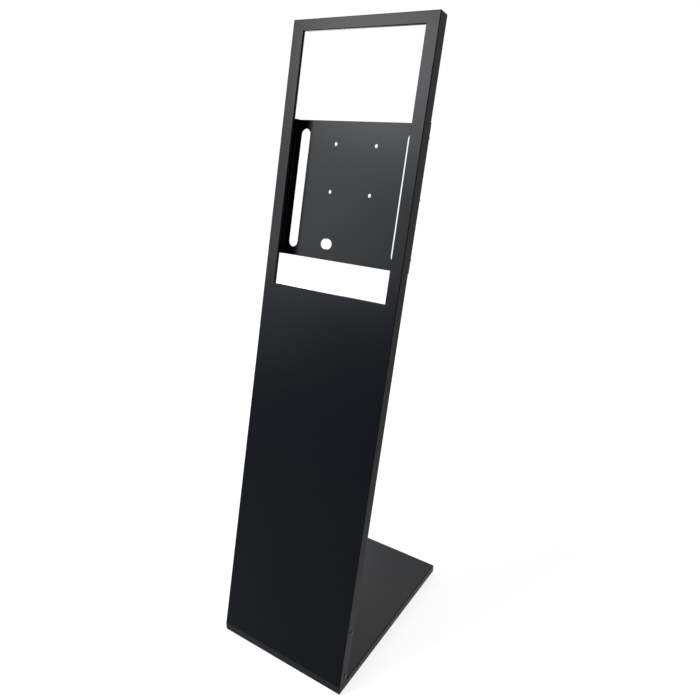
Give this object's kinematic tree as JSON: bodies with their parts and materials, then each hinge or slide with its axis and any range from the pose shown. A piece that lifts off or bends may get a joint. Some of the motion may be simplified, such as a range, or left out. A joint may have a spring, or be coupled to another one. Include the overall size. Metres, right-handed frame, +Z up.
{
  "type": "digital signage stand",
  "caption": "Leaning floor stand of folded sheet steel with a portrait window, a bracket for a display behind it, and a low flat base.",
  "frame": {"origin": "on the floor, under the middle of the stand's length and width", "axes": "+X across the stand, to the right seen from the front; +Y from the leaning face towards the rear of the base; +Z up"},
  "size_m": [0.3468, 0.469, 1.3928],
  "materials": {
    "black_powder_coat": "satin black powder coat with a fine texture",
    "black_oxide_steel": "black oxide with an oiled sheen",
    "zinc_plated_steel": "zinc plated",
    "rubber": "matt moulded rubber"
  },
  "bodies": {
    "root": {"front_panel": "black_powder_coat", "vesa_bracket": "black_powder_coat", "sill_brace": "black_powder_coat", "middle_brace": "black_powder_coat", "foot_brace": "black_powder_coat", "corner_plate_left": "black_powder_coat", "corner_plate_right": "black_powder_coat", "base_tray": "black_powder_coat", "floor_plate": "black_powder_coat", "base_rail_front": "black_powder_coat", "base_rail_rear": "black_powder_coat", "bracket_studs_left": "zinc_plated_steel", "bracket_studs_right": "zinc_plated_steel", "bracket_nuts_left": "black_oxide_steel", "bracket_nuts_right": "black_oxide_steel", "upright_screws_left": "black_oxide_steel", "upright_screws_right": "black_oxide_steel", "base_screws_left": "black_oxide_steel", "base_screws_right": "black_oxide_steel", "upright_nuts_left": "zinc_plated_steel", "upright_nuts_right": "zinc_plated_steel", "base_nuts_left": "zinc_plated_steel", "base_nuts_right": "zinc_plated_steel", "floor_plate_screws": "zinc_plated_steel", "floor_plate_nuts": "zinc_plated_steel", "foot_screws": "zinc_plated_steel", "foot_nuts": "zinc_plated_steel", "foot_front_left": "rubber", "foot_front_right": "rubber", "foot_rear_left": "rubber", "foot_rear_right": "rubber"}
  },
  "joints": []
}
